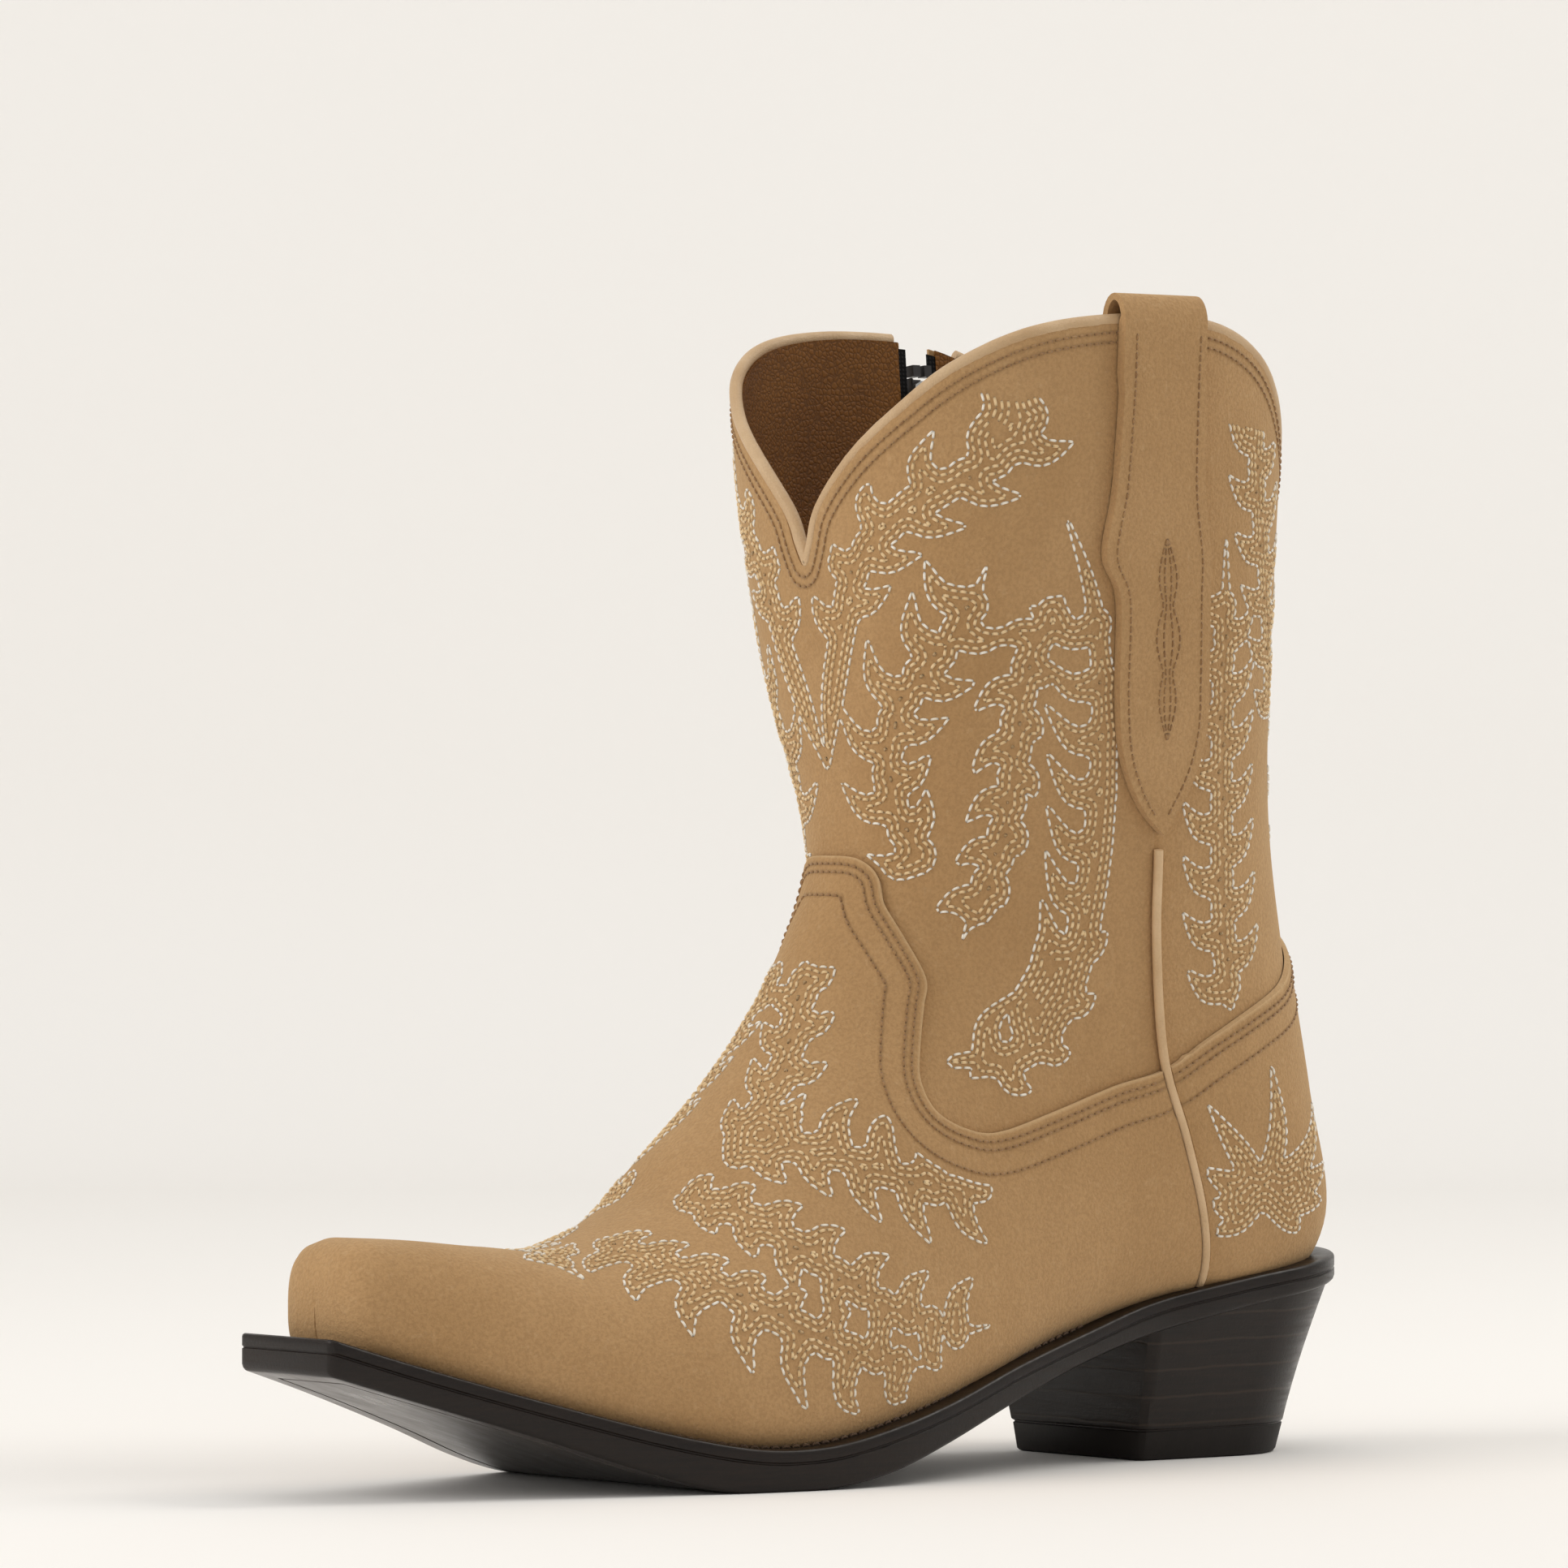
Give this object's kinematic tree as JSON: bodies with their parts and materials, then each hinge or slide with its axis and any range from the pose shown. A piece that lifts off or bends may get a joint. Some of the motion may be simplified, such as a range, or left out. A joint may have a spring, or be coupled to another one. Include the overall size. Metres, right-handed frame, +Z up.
{
  "type": "cowboy boot",
  "caption": "Short western boot for the left foot in sand suede, with flame stitching, a snip toe, an underslung heel, one pull strap and an inner side zip whose slider and pull move.",
  "frame": {"origin": "on the ground under the heel, in the middle of the heel's width, 29 mm in front of the back edge of the tread", "axes": "+Z up, the toe points to -Y, +X towards the outer (little toe) side of the left foot and the pull strap; the zip is on the -X side"},
  "size_m": [0.1139, 0.2948, 0.267],
  "materials": {
    "suede": "napped suede, raw cut edges",
    "smooth_leather": "smooth, satin",
    "lining_leather": "grained, satin",
    "sole_leather": "stained and polished edge",
    "rubber": "matt",
    "board": "pressed fibre board, matt",
    "cork": "ground cork, matt",
    "cloth_backing": "woven cotton",
    "zip_tape": "woven tape",
    "steel": "bright nickel plate",
    "gunmetal": "dark plated"
  },
  "bodies": {
    "boot": {"vamp": "suede", "heel_counter": "suede", "shaft_front_panel": "suede", "shaft_back_panel": "suede", "pull_strap": "suede", "collar_piping": "smooth_leather", "outer_seam_bead": "smooth_leather", "inner_seam_bead": "smooth_leather", "vamp_lining": "lining_leather", "heel_lining": "lining_leather", "shaft_lining_front": "lining_leather", "shaft_lining_back": "lining_leather", "footbed": "lining_leather", "welt": "sole_leather", "heel_seat": "sole_leather", "outsole": "sole_leather", "heel_lift_1": "sole_leather", "heel_lift_2": "sole_leather", "heel_lift_3": "sole_leather", "heel_wedge": "sole_leather", "forepart_pad": "rubber", "heel_top_piece": "rubber", "toe_puff": "board", "counter_stiffener": "board", "insole_board": "board", "cork_filler": "cork", "vamp_backing": "cloth_backing", "zip_tape_front": "zip_tape", "zip_tape_back": "zip_tape", "steel_shank": "steel", "heel_nail_1": "steel", "heel_nail_2": "steel", "heel_nail_3": "steel", "heel_nail_4": "steel", "heel_screw": "steel", "zip_teeth_front": "gunmetal", "zip_teeth_back": "gunmetal", "zip_top_stop_front": "gunmetal", "zip_top_stop_back": "gunmetal", "zip_bottom_stop": "gunmetal"},
    "slider": {"zip_slider": "steel"},
    "pull": {"zip_pull": "steel"}
  },
  "joints": [
    {"name": "zip_slide", "type": "slide", "parent": "boot", "child": "slider", "axis": [0.111, 0, -0.9938], "range_m": [0, 0.13]},
    {"name": "pull_swing", "type": "hinge", "parent": "slider", "child": "pull", "pos_m": [-0.05501, -0.03, 0.24648], "axis": [0, 1, 0], "range_deg": [0, 170]}
  ]
}
